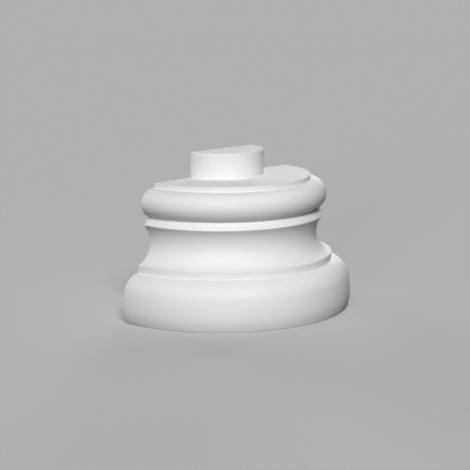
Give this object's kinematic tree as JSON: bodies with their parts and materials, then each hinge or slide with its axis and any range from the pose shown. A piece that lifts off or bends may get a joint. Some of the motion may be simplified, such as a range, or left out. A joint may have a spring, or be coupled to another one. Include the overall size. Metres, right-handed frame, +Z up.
{
  "type": "half column base",
  "caption": "Half-round column base with a tall foot torus, step, hollow, slanted band and ring torus, a flat seat with a half-round spigot, and a flat back for a wall.",
  "frame": {"origin": "the column's axis at floor level, in the plane of the flat back that stands against the wall", "axes": "+Z up along the column's axis, +X to the right along the wall as seen from the front, +Y into the wall, so the moulded front faces -Y"},
  "size_m": [0.35, 0.175, 0.2145],
  "materials": {
    "white_primer": "satin"
  },
  "bodies": {
    "root": {"half_column_base": "white_primer"}
  },
  "joints": []
}
